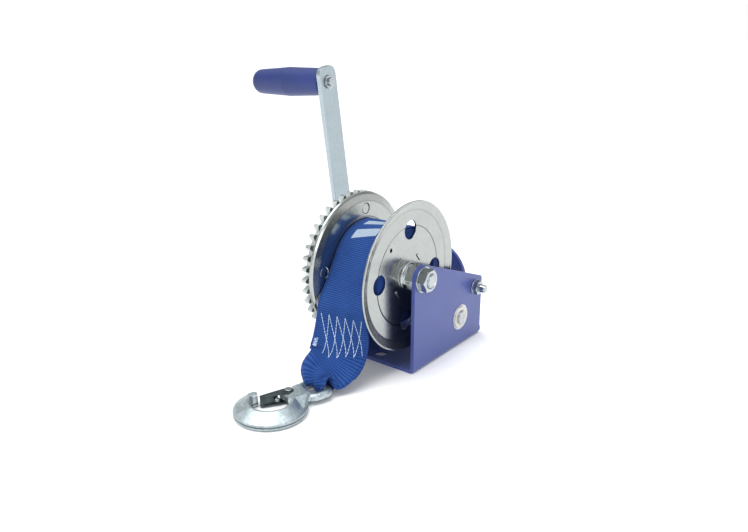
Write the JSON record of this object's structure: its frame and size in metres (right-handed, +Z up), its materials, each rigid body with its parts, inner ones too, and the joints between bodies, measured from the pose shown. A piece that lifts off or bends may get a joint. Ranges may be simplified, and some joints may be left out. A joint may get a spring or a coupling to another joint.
{
  "type": "boat trailer winch",
  "caption": "Hand-cranked strap winch for a boat trailer: steel frame, geared drum of webbing, ratchet pawl, crank with a turning grip, and a forged snap hook.",
  "frame": {"origin": "on the base's underside, midway between the side plates and 63.5 mm behind the base's front end", "axes": "+X along the drum's axis from the gear and crank side to the axle-nut side, +Z up, so the strap leaves towards -Y and +Y is the rear"},
  "size_m": [0.249, 0.2788, 0.2682],
  "materials": {
    "zinc_steel": "bright zinc plate with a faint blue tint and fine rolling marks",
    "gear_zinc": "zinc plate, sheared tooth flanks, slightly duller",
    "forged_zinc": "zinc plate over a forged skin",
    "plain_steel": "turned steel, lightly oiled",
    "bush_metal": "sintered grey metal",
    "blue_coat": "satin blue-violet powder coat",
    "grip_plastic": "satin moulded plastic",
    "webbing": "woven polyester with cross ribs",
    "dark_latch": "pressed sheet, dull"
  },
  "bodies": {
    "frame": {"frame": "blue_coat", "pinion_bushing_left": "bush_metal", "pinion_bushing_right": "bush_metal", "drum_bolt": "zinc_steel", "drum_washer": "zinc_steel", "drum_nut": "zinc_steel", "axle_sleeve": "plain_steel", "thrust_washers": "zinc_steel", "drum_spacer_left": "zinc_steel", "drum_spacer_right": "zinc_steel", "pawl_bolt": "zinc_steel", "pawl_washer": "zinc_steel", "pawl_nut": "zinc_steel", "pawl_tube": "zinc_steel", "pawl_rings": "zinc_steel", "strap_tail": "webbing"},
    "drum": {"drum_core": "zinc_steel", "flange_left": "zinc_steel", "flange_right": "zinc_steel", "drum_gear": "gear_zinc", "gear_rivets": "zinc_steel", "strap_pin": "plain_steel", "strap_roll": "webbing"},
    "crank": {"pinion_shaft": "plain_steel", "pinion_gear": "gear_zinc", "shaft_ring": "zinc_steel", "crank_spacer": "zinc_steel", "crank_arm": "zinc_steel", "crank_washer": "zinc_steel", "crank_nut": "zinc_steel", "grip_pin": "zinc_steel", "grip_pin_washer": "zinc_steel"},
    "grip": {"grip": "grip_plastic"},
    "pawl": {"pawl": "zinc_steel", "pawl_spring": "plain_steel"},
    "hook": {"hook": "forged_zinc", "latch_rivet": "zinc_steel"},
    "latch": {"hook_latch": "dark_latch", "latch_spring": "plain_steel"}
  },
  "joints": [
    {"name": "drum_spin", "type": "hinge", "parent": "frame", "child": "drum", "pos_m": [0, -0.051, 0.0895], "axis": [1, 0, 0], "continuous": true},
    {"name": "crank_spin", "type": "hinge", "parent": "frame", "child": "crank", "pos_m": [0, 0.01614, 0.03123], "axis": [1, 0, 0], "continuous": true},
    {"name": "grip_spin", "type": "hinge", "parent": "crank", "child": "grip", "pos_m": [-0.14047, -0.01871, 0.25118], "axis": [0.9995, 0, 0.0314], "continuous": true},
    {"name": "pawl_swing", "type": "hinge", "parent": "frame", "child": "pawl", "pos_m": [-0.034, 0.042, 0.0556], "axis": [1, 0, 0], "range_deg": [0, 18]},
    {"name": "hook_swing", "type": "hinge", "parent": "frame", "child": "hook", "pos_m": [0.00516, -0.13983, 0.006], "axis": [-0.9703, 0.2419, 0], "range_deg": [0, 60]},
    {"name": "latch_swing", "type": "hinge", "parent": "hook", "child": "latch", "pos_m": [-0.00852, -0.16785, 0.006], "axis": [0, 0, 1], "range_deg": [0, 28], "stiffness_Nm_per_rad": 0.02, "springref_deg": -5.73}
  ],
  "couplings": [
    {"joint": "crank_spin", "follows": "drum_spin", "ratio": -3}
  ]
}
